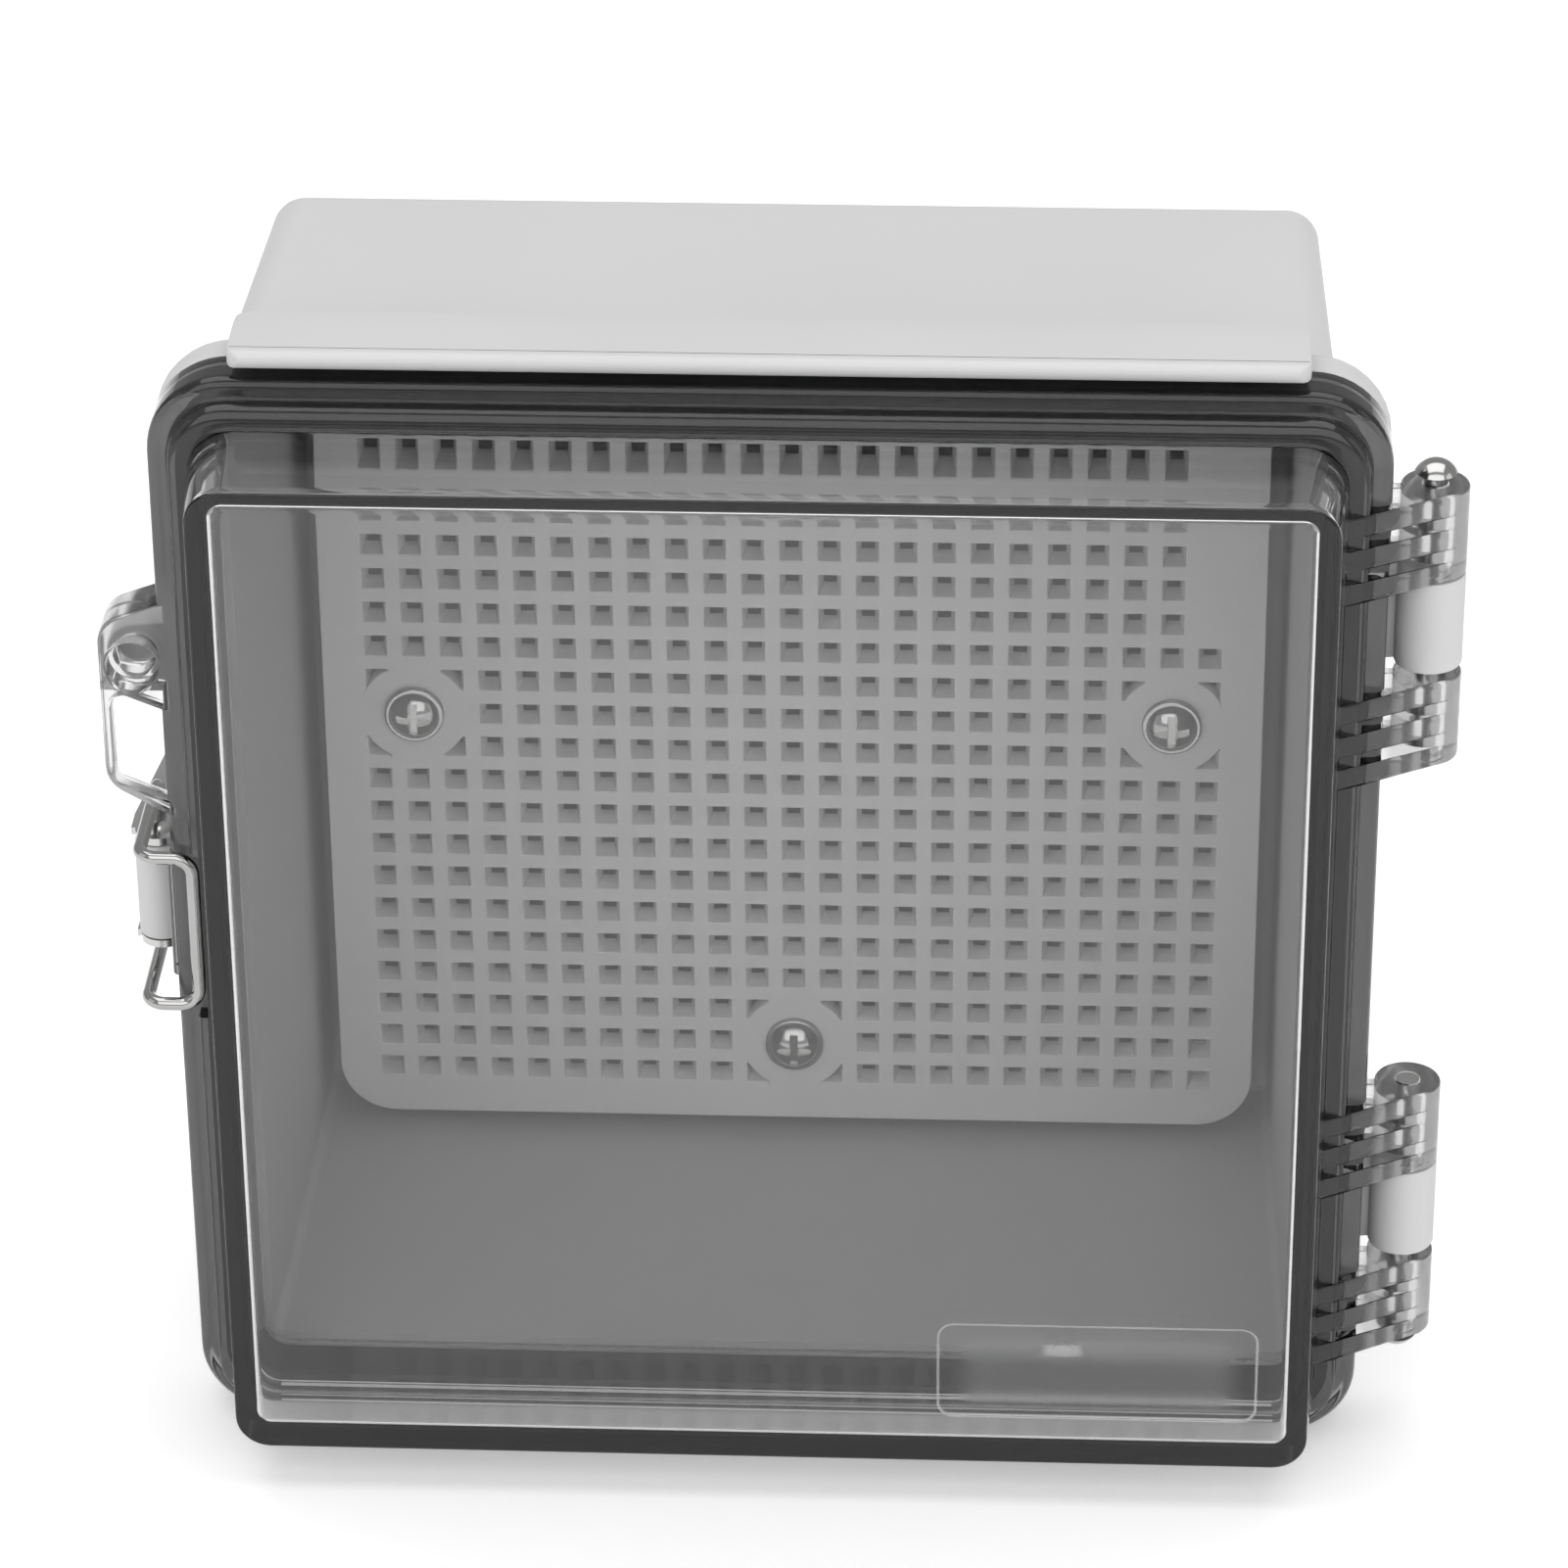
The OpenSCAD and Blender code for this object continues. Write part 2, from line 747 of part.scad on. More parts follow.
// Pressed channel lever: two ears on the pivot, a leaning outer web and a bent finger lip
module latch_lever() {
    reach = lever_half + sheet_t;
    color(steel)
        difference() {
            shelf(latch_z - reach, latch_z + reach)
                lever_outline();
            shelf(latch_z - lever_half, latch_z + lever_half)
                lever_channel();
            post(pivot_x, pivot_depth, latch_pin_d + 2 * pin_gap, latch_z - bail_w, latch_z + bail_w);
            post(bail_pivot_x, bail_pivot_depth, wire_d + 2 * pin_gap, latch_z - bail_w, latch_z + bail_w);
        }
}

// The lever from above
module lever_outline() {
    translate([pivot_x, pivot_depth])
        circle(ear_r);
    polygon([[web_x, pivot_depth], [web_x, web_start], [tip_x, tip], [tip_x - lip_out, tip - lip_l],
        [tip_x - lip_out + sheet_t, tip - lip_l], [tip_x + sheet_t, tip], [tip_x + 2 * sheet_t, tip],
        [pivot_x + ear_r, bail_pivot_depth - ear_r], [pivot_x + ear_r, pivot_depth]]);
}

// The room between the lever's ears, behind its web and round the barrel
module lever_channel() {
    polygon([[web_x - over, pivot_depth + latch_barrel_d], [web_x - over, web_start], [web_x + sheet_t, web_start],
        [tip_x + sheet_t, tip], [tip_x + sheet_t, tip - over], [pivot_x + latch_barrel_d, tip - over],
        [pivot_x + latch_barrel_d, pivot_depth + latch_barrel_d]]);
}

// Rivet through the lever's ears and the body's barrel
module latch_pin() {
    reach = lever_half + sheet_t;
    color(steel)
        translate([pivot_x, -pivot_depth, latch_z]) {
            cylinder(d = latch_pin_d, h = 2 * reach + slip, center = true);
            for (turn = [0, 180])
                rotate([turn, 0, 0])
                    translate([0, 0, reach])
                        domed_head(rivet_d, rivet_h);
        }
}

// Wire bail: from one ear of the lever, out and forward, over the flange and back to the other ear
module latch_bail() {
    half = bail_w / 2;
    inside = lever_half - bail_tail;
    upper = [[bail_pivot_x, -bail_pivot_depth, inside], [bail_pivot_x, -bail_pivot_depth, half],
        [bail_pivot_x, -leg_depth, half], [leg_x, -leg_depth, half]];
    lower = [for (i = [3:-1:0]) [upper[i][0], upper[i][1], -upper[i][2]]];
    color(steel)
        translate([0, 0, latch_z])
            wire(concat(upper, lower));
}

function unit(v) = v / norm(v);

// How far a bend takes up the straight on each side of a corner
function take(a, b, c) = wire_bend * tan(acos(unit(b - a) * unit(c - b)) / 2);

// Round wire along a path, with a true bend at each corner
module wire(path) {
    last = len(path) - 1;
    for (i = [0:last - 1]) {
        along = unit(path[i + 1] - path[i]);
        start = path[i] + along * (i == 0 ? 0 : take(path[i - 1], path[i], path[i + 1]));
        stop = path[i + 1] - along * (i == last - 1 ? 0 : take(path[i], path[i + 1], path[i + 2]));
        straight(start, along, norm(stop - start));
    }
    for (i = [1:last - 1])
        bend(path[i - 1], path[i], path[i + 1]);
}

module straight(start, along, length) {
    across = unit(cross(along, abs(along[2]) > 0.9 ? [1, 0, 0] : [0, 0, 1]));
    place(start, across, cross(along, across), along)
        cylinder(d = wire_d, h = length);
}

module bend(a, b, c) {
    into = unit(b - a);
    away = unit(c - b);
    axis = unit(cross(into, away));
    start = b - into * take(a, b, c);
    centre = start + cross(axis, into) * wire_bend;
    out = unit(start - centre);
    place(centre, out, cross(axis, out), axis)
        rotate_extrude(angle = acos(into * away))
            translate([wire_bend, 0])
                circle(d = wire_d);
}

// Move children to a point, with their X, Y and Z along three given directions
module place(at, x, y, z) {
    multmatrix([[x[0], y[0], z[0], at[0]], [x[1], y[1], z[1], at[1]], [x[2], y[2], z[2], at[2]], [0, 0, 0, 1]])
        children();
}

body();
cover();
gasket();
mounting_plate();
for (i = [1:4]) plate_screw(screw_places[i - 1]);
hinge_pin(1);  // hinge_pin_upper
hinge_pin(-1);  // hinge_pin_lower
latch_lever();
latch_pin();
latch_bail();
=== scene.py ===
import json
import math

import bmesh
import bpy
from mathutils import Matrix, Vector


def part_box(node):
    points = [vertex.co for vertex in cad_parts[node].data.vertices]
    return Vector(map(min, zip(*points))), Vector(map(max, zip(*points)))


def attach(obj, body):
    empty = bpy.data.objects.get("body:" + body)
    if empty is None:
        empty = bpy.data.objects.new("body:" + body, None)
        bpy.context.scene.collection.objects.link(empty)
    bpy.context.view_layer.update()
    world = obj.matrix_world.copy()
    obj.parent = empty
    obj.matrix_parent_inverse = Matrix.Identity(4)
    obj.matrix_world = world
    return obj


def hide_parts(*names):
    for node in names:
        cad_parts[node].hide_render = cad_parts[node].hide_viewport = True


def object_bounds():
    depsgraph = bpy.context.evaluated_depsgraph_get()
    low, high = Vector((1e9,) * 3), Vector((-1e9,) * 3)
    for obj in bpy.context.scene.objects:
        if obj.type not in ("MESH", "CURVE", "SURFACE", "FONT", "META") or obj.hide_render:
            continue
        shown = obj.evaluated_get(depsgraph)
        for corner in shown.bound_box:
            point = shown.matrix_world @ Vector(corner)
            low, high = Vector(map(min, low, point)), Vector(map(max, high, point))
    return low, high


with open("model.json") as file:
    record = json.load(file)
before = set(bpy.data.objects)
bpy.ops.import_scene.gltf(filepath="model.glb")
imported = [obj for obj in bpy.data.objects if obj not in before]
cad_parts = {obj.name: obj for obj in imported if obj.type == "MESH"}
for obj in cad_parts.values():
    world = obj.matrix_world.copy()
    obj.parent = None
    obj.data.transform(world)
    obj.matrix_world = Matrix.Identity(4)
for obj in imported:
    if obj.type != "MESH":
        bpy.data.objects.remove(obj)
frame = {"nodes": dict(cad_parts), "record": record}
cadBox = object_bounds()
nodes = frame["nodes"]
scene = bpy.context.scene
bpy.ops.object.select_all(action="DESELECT")
mm = 0.001
print("frame loaded:", len(nodes), "nodes")


# shader helpers: a wrapped socket does its maths with Python operators

class Wire:
    def __init__(self, finish, socket):
        self.finish = finish
        self.socket = socket

    def math(self, operation, *values):
        return self.finish.node("ShaderNodeMath", {"operation": operation}, dict(enumerate(values)))

    def __add__(self, other):
        return self.math("ADD", self, other)

    def __radd__(self, other):
        return self.math("ADD", other, self)

    def __sub__(self, other):
        return self.math("SUBTRACT", self, other)

    def __rsub__(self, other):
        return self.math("SUBTRACT", other, self)

    def __mul__(self, other):
        return self.math("MULTIPLY", self, other)

    def __rmul__(self, other):
        return self.math("MULTIPLY", other, self)

    def __abs__(self):
        return self.math("ABSOLUTE", self)


class Finish:
    def __init__(self, name):
        self.material = bpy.data.materials.new(name)
        self.material.use_nodes = True
        self.tree = self.material.node_tree
        self.tree.nodes.clear()
        self.output = self.tree.nodes.new("ShaderNodeOutputMaterial")
        self.skin = self.tree.nodes.new("ShaderNodeBsdfPrincipled")
        self.tree.links.new(self.skin.outputs[0], self.output.inputs["Surface"])
        self.place = self.node("ShaderNodeTexCoord", out="Object")

    def fill(self, socket, value):
        if isinstance(value, Wire):
            self.tree.links.new(value.socket, socket)
        else:
            socket.default_value = value

    def node(self, kind, settings=None, sockets=None, out=0):
        made = self.tree.nodes.new(kind)
        for key, value in (settings or {}).items():
            setattr(made, key, value)
        for key, value in (sockets or {}).items():
            self.fill(made.inputs[key], value)
        return Wire(self, made.outputs[out])

    def set(self, **sockets):
        for key, value in sockets.items():
            self.fill(self.skin.inputs[key.replace("_", " ")], value)

    def noise(self, scale, detail, stretch=None):
        place = self.place
        if stretch:
            place = self.node("ShaderNodeMapping", sockets={"Vector": place, "Scale": stretch})
        return self.node("ShaderNodeTexNoise", sockets={"Vector": place, "Scale": scale, "Detail": detail})

    def blend(self, share, first, second):
        return self.node("ShaderNodeMix", {"data_type": "RGBA"},
                         {"Factor": share, 6: (*first, 1), 7: (*second, 1)}, out=2)

    def ramp(self, value, low, high):
        return self.node("ShaderNodeMapRange", {"interpolation_type": "SMOOTHSTEP"},
                         {"Value": value, "From Min": low, "From Max": high})

    def bump(self, height, distance, strength):
        return self.node("ShaderNodeBump",
                         sockets={"Height": height, "Distance": distance, "Strength": strength})


# opaque plastics: the melt's flow and a fine grain vary tone and gloss a little
moulded = {"flow": 28, "cloud": 0.03, "fineRough": 0.12, "flowRough": 0.08, "height": 0.02, "strength": 0.35,
           "specular": 0.35}


def mouldedPlastic(name, tone, rough, grain):
    made = Finish(name)
    flow = made.noise(moulded["flow"], detail=3)
    fine = made.noise(grain, detail=2)
    light = [value * (1 + moulded["cloud"]) for value in tone]
    dark = [value * (1 - moulded["cloud"]) for value in tone]
    made.set(Base_Color=made.blend(flow, dark, light),
             Roughness=rough + moulded["fineRough"] * (fine - 0.5) + moulded["flowRough"] * (flow - 0.5),
             Normal=made.bump(fine, moulded["height"] * mm, moulded["strength"]))
    made.skin.inputs["Specular IOR Level"].default_value = moulded["specular"]
    return made.material


# clear plastic: scales of its faint unevenness, and the pale scatter that frosts it
smoke = {"wave": 45, "haze": 900, "blur": 420, "hazeRough": 0.01, "height": 0.02, "strength": 0.05,
         "ior": 1.5, "mistTone": (0.85, 0.85, 0.86, 1), "mistRough": 0.7, "mistLow": 0.6, "mistGain": 0.8}

# the label field in millimetres: its frosted middle, its rim, and a pale spot painted as a soft highlight
label = {"x": (21.5, 61.7), "z": (-61.2, -47.3), "corner": 2, "depth": 89.4, "rise": 0.2, "soft": 0.3,
         "fade": (1.5, 5), "fadeSpan": 24, "rough": 0.22, "mist": 0.05,
         "rim": 0.22, "rimWidth": 0.28, "rimCore": 0.1,
         "paintedGlow": (37.2, -51), "paintedGlowSize": (2.9, 1.1), "paintedGlowCore": 0.55, "paintedGlowMist": 0.2}

# the hinge lugs and the eye come less polished from the mould, beyond this distance from the middle
lugs = {"from": 75.2, "to": 76.4, "rough": 0.17, "mist": 0.06}


def smokePlastic(name, perMetre, tint):
    made = Finish(name)
    wave = made.noise(smoke["wave"], detail=1)
    haze = made.noise(smoke["haze"], detail=2)
    blur = made.noise(smoke["blur"], detail=3)
    made.skin.inputs["Transmission Weight"].default_value = 1
    made.skin.inputs["IOR"].default_value = smoke["ior"]
    x, y, z = (made.node("ShaderNodeSeparateXYZ", sockets={0: made.place}, out=axis) for axis in range(3))
    onFront = made.ramp(y, -label["depth"] * mm, -(label["depth"] + label["rise"]) * mm)
    # signed distance to the field's rounded outline, in metres
    sides = []
    for value, (low, high) in ((x, label["x"]), (z, label["z"])):
        half = (high - low) / 2 - label["corner"]
        gap = abs(value - (low + high) / 2 * mm) - half * mm
        sides.append(made.node("ShaderNodeMath", {"operation": "MAXIMUM"}, {0: gap, 1: 0.0}))
    squared = sides[0] * sides[0] + sides[1] * sides[1]
    outline = made.node("ShaderNodeMath", {"operation": "SQRT"}, {0: squared}) - label["corner"] * mm
    rim = onFront * made.ramp(abs(outline), label["rimWidth"] * mm, label["rimCore"] * mm)
    middle = onFront * made.ramp(outline, 0.0, -label["soft"] * mm)
    for value, (low, high) in ((x, label["x"]), (z, label["z"])):
        start, end = (share * min(1, (high - low) / label["fadeSpan"]) for share in label["fade"])
        middle = middle * made.ramp(value, (low + start) * mm, (low + end) * mm)
        middle = middle * made.ramp(value, (high - start) * mm, (high - end) * mm)
    # a small pale oval of scatter, a painted highlight that stands in for a soft glow of light
    paintedGlow = onFront
    for value, centre, size in zip((x, z), label["paintedGlow"], label["paintedGlowSize"]):
        paintedGlow = paintedGlow * made.ramp(abs(value - centre * mm), size * mm, size * label["paintedGlowCore"] * mm)
    onLugs = made.ramp(abs(x), lugs["from"] * mm, lugs["to"] * mm)
    mist = label["mist"] * middle * (smoke["mistLow"] + smoke["mistGain"] * blur)
    mist = mist + label["rim"] * rim + label["paintedGlowMist"] * paintedGlow + lugs["mist"] * onLugs
    made.set(Base_Color=(1, 1, 1, 1),
             Roughness=smoke["hazeRough"] * haze + label["rough"] * middle + lugs["rough"] * onLugs,
             Normal=made.bump(wave, smoke["height"] * mm, smoke["strength"]))
    scatter = made.node("ShaderNodeBsdfPrincipled",
                        sockets={"Base Color": smoke["mistTone"], "Roughness": smoke["mistRough"]})
    mixed = made.node("ShaderNodeMixShader",
                      sockets={0: mist, 1: Wire(made, made.skin.outputs[0]), 2: scatter})
    made.tree.links.new(mixed.socket, made.output.inputs["Surface"])
    volume = made.node("ShaderNodeVolumeAbsorption", sockets={"Color": (*tint, 1), "Density": perMetre})
    made.tree.links.new(volume.socket, made.output.inputs["Volume"])
    return made.material


rubber = {"bloom": 300, "pores": 2500, "dark": (0.012, 0.012, 0.012), "pale": (0.03, 0.03, 0.031),
          "rough": 0.6, "poreRough": 0.1, "height": 0.02, "strength": 0.12}


def sealRubber(name):
    made = Finish(name)
    bloom = made.noise(rubber["bloom"], detail=3)
    pores = made.noise(rubber["pores"], detail=2)
    made.set(Base_Color=made.blend(bloom, rubber["dark"], rubber["pale"]),
             Roughness=rubber["rough"] + rubber["poreRough"] * pores,
             Normal=made.bump(pores, rubber["height"] * mm, rubber["strength"]))
    return made.material


steel = {"drawn": 900, "stain": 120, "dark": (0.88, 0.87, 0.86), "pale": (1.12, 1.11, 1.1),
         "drawnRough": 0.12, "stainRough": 0.06, "height": 0.01, "strength": 0.25}


def stainlessSteel(name, rough, stretch, tone):
    made = Finish(name)
    drawn = made.noise(steel["drawn"], detail=3, stretch=stretch)
    stain = made.noise(steel["stain"], detail=2)
    dark = [tone * share for share in steel["dark"]]
    pale = [tone * share for share in steel["pale"]]
    made.set(Base_Color=made.blend(stain, dark, pale),
             Roughness=rough + steel["drawnRough"] * (drawn - 0.5) + steel["stainRough"] * (stain - 0.5),
             Normal=made.bump(drawn, steel["height"] * mm, steel["strength"]))
    made.skin.inputs["Metallic"].default_value = 1
    return made.material


bodyFinish = {"tone": (0.55, 0.55, 0.55), "rough": 0.52, "grain": 2600}
plateFinish = {"tone": (0.76, 0.76, 0.76), "rough": 0.55, "grain": 2200}
coverFinish = {"perMetre": 62, "tint": (0.0, 0.0, 0.0)}
turnedFinish = {"rough": 0.16, "stretch": (1, 1, 0.1), "tone": 0.45}
# the drawn wire is polished, the pressed lever is duller
wireFinish = {"rough": 0.1, "stretch": (1, 1, 0.06), "tone": 0.4}
pressedFinish = {"rough": 0.24, "stretch": (0.2, 1, 1), "tone": 0.53}

finishes = {
    "body_plastic": mouldedPlastic("bodyGrey", **bodyFinish),
    "cover_plastic": smokePlastic("coverSmoke", **coverFinish),
    "seal_rubber": sealRubber("sealBlack"),
    "plate_plastic": mouldedPlastic("plateGrey", **plateFinish),
    "stainless": stainlessSteel("steelTurned", **turnedFinish),
}
ownFinishes = {"latch_bail": stainlessSteel("steelWire", **wireFinish),
               "latch_lever": stainlessSteel("steelPressed", **pressedFinish)}
slotOf = {part["node"]: part["material_slot"] for part in frame["record"]["subparts"]}
bodyOf = {node: body for body, members in frame["record"]["behaviour"]["bodies"].items() for node in members}
for node, slot in slotOf.items():
    nodes[node].data.materials.clear()
    nodes[node].data.materials.append(ownFinishes.get(node, finishes[slot]))
print("finishes set:", len(finishes) + len(ownFinishes))


# copies of nodes, welded, some of them reshaped and with rounded edges

# angles in degrees, the weld's reach in metres
copying = {"weld": 2e-6, "flat": 0.2, "sharp": 40, "smooth": 35}


def activate(piece):
    bpy.ops.object.select_all(action="DESELECT")
    piece.select_set(True)
    bpy.context.view_layer.objects.active = piece


def applyModifier(piece, kind, **settings):
    activate(piece)
    modifier = piece.modifiers.new(kind, kind)
    for key, value in settings.items():
        setattr(modifier, key, value)
    bpy.ops.object.modifier_apply(modifier=modifier.name)


def bareCopy(node, name):
    piece = nodes[node].copy()
    piece.data = nodes[node].data.copy()
    piece.name = name
    piece.parent = None
    for key in list(piece.keys()):
        del piece[key]
    scene.collection.objects.link(piece)
    activate(piece)
    return piece


def weld(flatten):
    bpy.ops.object.mode_set(mode="EDIT")
    bpy.ops.mesh.select_all(action="SELECT")
    bpy.ops.mesh.remove_doubles(threshold=copying["weld"])
    if flatten:
        bpy.ops.mesh.dissolve_limited(angle_limit=math.radians(copying["flat"]))
    bpy.ops.object.mode_set(mode="OBJECT")


def roundedCopy(node, name, rounding, largest, segments, reshape=None):
    piece = bareCopy(node, name)
    piece.data.name = name
    bpy.ops.mesh.customdata_custom_splitnormals_clear()
    weld(flatten=True)
    shape = bmesh.new()
    shape.from_mesh(piece.data)
    if reshape:
        reshape(shape)
    weights = shape.edges.layers.float.new("bevel_weight_edge")
    for edge in shape.edges:
        if len(edge.link_faces) == 2 and edge.calc_face_angle() > math.radians(copying["sharp"]):
            middle = (edge.verts[0].co + edge.verts[1].co) / (2 * mm)
            edge[weights] = min(rounding(middle, edge) / largest, 1)
    shape.to_mesh(piece.data)
    shape.free()
    applyModifier(piece, "BEVEL", limit_method="WEIGHT", width=largest * mm, segments=segments,
                  use_clamp_overlap=False)
    bpy.ops.object.shade_smooth_by_angle(angle=math.radians(copying["smooth"]))
    applyModifier(piece, "WEIGHTED_NORMAL", keep_sharp=True)
    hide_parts(node)
    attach(piece, bodyOf[node])
    print(name, "faces:", len(piece.data.polygons))


def outlineGap(middle, half, corner):
    across = max(abs(middle.x) - half + corner, 0)
    upward = max(abs(middle.z) - half + corner, 0)
    inside = min(max(abs(middle.x), abs(middle.z)) - half + corner, 0)
    return math.hypot(across, upward) + inside - corner


# cover: lengths in millimetres from the box's middle, depths from its back

coverShape = {"flange": 75, "flangeCorner": 10, "flangeFront": 73, "parting": 66.2,
              "tier": 72.3, "tierCorner": 7.3, "tierFront": 75.6, "ribGap": 0.1,
              "wall": 69.6, "wallCorner": 5.6, "front": 90, "labelSunk": 0.3}
coverRounds = {"flange": 1.4, "parting": 0.35, "tier": 0.6, "tierTop": 2, "foot": 0.5, "ribs": 0.4,
               "label": 0.06, "segments": 4}
# how near a corner lies to the edge, wall or face that it is taken for, and how little a wall slopes
slack = {"edge": 0.03, "wall": 0.05, "face": 0.02, "slope": 0.2}


def coverRounding(middle, edge):
    depth = -middle.y

    def onLine(outline, front):
        gap = outlineGap(middle, coverShape[outline], coverShape[outline + "Corner"])
        return abs(gap) < slack["edge"] and abs(depth - coverShape[front]) < slack["edge"]

    if onLine("flange", "flangeFront"):
        return coverRounds["flange"]
    if onLine("flange", "parting"):
        return coverRounds["parting"]
    if onLine("tier", "tierFront"):
        # softer along the top, under the visor
        top = (middle.z - coverShape["tier"]) / coverShape["tierCorner"] + 1
        return coverRounds["tier"] + (coverRounds["tierTop"] - coverRounds["tier"]) * min(1, max(0, top))
    if onLine("tier", "flangeFront") or onLine("wall", "tierFront"):
        return coverRounds["foot"]
    beyond = outlineGap(middle, coverShape["tier"], coverShape["tierCorner"])
    if beyond > coverShape["ribGap"] and edge.is_convex:
        return coverRounds["ribs"]
    if depth > coverShape["front"] - coverShape["labelSunk"]:
        return coverRounds["label"]
    return 0


# the dome's outer wall bows a little, like a weak lens, its inner wall is straight, and both front
# edges are crisp; names with cad are lengths of the solid before it is reshaped
domeForm = {"core": 64, "root": 75.6, "wall": 69.6, "lean": 0.0717, "bow": 0.00109, "front": 90,
            "cadEdge": 1.5, "edge": 0.4, "edgeFrom": 66, "cadPanel": 68.5, "skin": 0.5, "band": (68.2, 70),
            "rows": (76.5, 77.6, 78.8, 81.4, 82.5, 83.6, 85.8, 87, 88), "rowsFrom": 0.1}
hollowForm = {"core": 63.85, "cadRoot": 75.6, "root": 73.9, "wall": 67.1, "cadEnd": 85.5, "end": 86.5,
              "cadEdge": 2, "edge": 1, "panel": 65.9, "cadPanel": 66, "back": 87.5, "between": (63.9, 67.2),
              "band": (65.5, 67.5), "rows": (76, 85.2)}
# the seal's groove reaches up into the step in front of it, and its mouth is widest along the top
grooveForm = {"core": 63.7, "cadInner": 68, "cadWall": 71.3, "wallSlack": 0.1, "mouth": 71.6,
              "mouthTop": 72.6, "rise": 6, "cadFloor": 69.2, "floor": 73.4}


def moveOut(vert, core, reach, depth):
    near = Vector((max(-core, min(core, vert.co.x / mm)), 0, max(-core, min(core, vert.co.z / mm))))
    away = Vector((vert.co.x / mm, 0, vert.co.z / mm)) - near
    place = near + away.normalized() * (reach - core)
    vert.co = Vector((place.x, -depth, place.z)) * mm


def reachOf(place, core):
    return core + math.hypot(*(max(abs(value) / mm - core, 0) for value in (place.x, place.z)))


def grooveMouth(place):
    share = min(1, max(0, (place.z / mm - grooveForm["core"]) / grooveForm["rise"]))
    return grooveForm["mouth"] + share * (grooveForm["mouthTop"] - grooveForm["mouth"])


def domeReach(depth):
    along = depth - domeForm["root"]
    return domeForm["wall"] - domeForm["lean"] * along - domeForm["bow"] * along * along


def cutRows(shape, form):
    low, high = form["band"]
    for depth in form["rows"]:
        walls = [face for face in shape.faces
                 if -face.calc_center_median().y / mm > domeForm["root"] + domeForm["rowsFrom"]
                 and low < reachOf(face.verts[0].co, hollowForm["core"]) < high
                 and abs(face.normal.y) < slack["slope"]]
        edges = {edge for face in walls for edge in face.edges}
        verts = {vert for face in walls for vert in face.verts}
        bmesh.ops.bisect_plane(shape, geom=[*verts, *edges, *walls], plane_co=(0, -depth * mm, 0),
                               plane_no=(0, 1, 0))


def shapeHollow(vert, depth, reach):
    form = hollowForm
    if abs(reach - form["wall"]) < slack["wall"] and abs(depth - form["cadRoot"]) < slack["wall"]:
        vert.co.y = -form["root"] * mm
    elif form["cadRoot"] < depth < form["cadEnd"] - slack["wall"]:
        share = (depth - form["cadRoot"]) / (form["cadEnd"] - form["cadRoot"])
        moveOut(vert, form["core"], form["wall"] + share * (form["panel"] - form["wall"]),
                form["root"] + share * (form["end"] - form["root"]))
    elif depth > form["cadEnd"] - slack["wall"]:
        rise = min((form["back"] - depth) / form["cadEdge"], 1)
        sunk = form["cadEdge"] * (1 - math.sqrt(1 - (1 - rise) ** 2))
        shrink = form["edge"] / form["cadEdge"]
        outward = form["panel"] - form["cadPanel"] + (1 - shrink) * sunk
        moveOut(vert, form["core"], reach + outward, form["back"] - shrink * (form["back"] - depth))


def shapeCover(shape):
    cutRows(shape, domeForm)
    cutRows(shape, hollowForm)
    share = domeForm["edge"] / domeForm["cadEdge"]
    panel = domeReach(domeForm["front"] - domeForm["edge"])
    edgeDepth = domeForm["front"] - domeForm["cadEdge"] - slack["face"]
    hollowLow, hollowHigh = hollowForm["between"]
    for vert in shape.verts:
        depth = -vert.co.y / mm
        reach = reachOf(vert.co, domeForm["core"])
        hollow = reachOf(vert.co, hollowForm["core"])
        groove = reachOf(vert.co, grooveForm["core"])
        inHollow = domeForm["root"] - slack["wall"] < depth < hollowForm["back"] + slack["face"]
        onFloor = abs(depth - grooveForm["cadFloor"]) < slack["face"]
        if depth > edgeDepth and reach > domeForm["edgeFrom"]:
            moveOut(vert, domeForm["core"], panel - share * (domeForm["cadPanel"] - reach),
                    domeForm["front"] - share * (domeForm["front"] - depth))
        elif depth > domeForm["root"] + slack["wall"] and reach > domeReach(depth) - domeForm["skin"]:
            moveOut(vert, domeForm["core"], domeReach(depth), depth)
        elif inHollow and hollowLow < hollow < hollowHigh:
            shapeHollow(vert, depth, hollow)
        elif onFloor and grooveForm["cadInner"] < groove < grooveForm["cadWall"] + grooveForm["wallSlack"]:
            vert.co.y = -grooveForm["floor"] * mm
        elif depth < grooveForm["cadFloor"] and abs(groove - grooveForm["cadWall"]) < slack["wall"]:
            moveOut(vert, grooveForm["core"], grooveMouth(vert.co), depth)


roundedCopy("cover", "cover_moulding", coverRounding, coverRounds["tierTop"], coverRounds["segments"],
            shapeCover)


# body: soft edges on the visor, barrels and eye lug, none inside or on the rib under the seal

bodyRounds = {"edge": 0.35, "segments": 2, "inner": 66.3, "ribDepth": 66.5, "rib": 74, "ribCorner": 9}


def bodyRounding(middle, edge):
    inside = max(abs(middle.x), abs(middle.z)) < bodyRounds["inner"]
    within = outlineGap(middle, bodyRounds["rib"], bodyRounds["ribCorner"]) < 0
    onRib = within and -middle.y > bodyRounds["ribDepth"]
    if inside or onRib or not edge.is_convex:
        return 0
    return bodyRounds["edge"]


roundedCopy("body", "body_moulding", bodyRounding, bodyRounds["edge"], bodyRounds["segments"])


# screws: the dome nearly fills the collar, whose rim is round

screwForm = {"count": 4, "collarFront": 18.2, "domeRadius": 3.05, "widen": 1.13, "rim": 0.28, "rimFrom": 3.7,
             "slot": 0.08, "slotFrom": 0.1, "segments": 3}


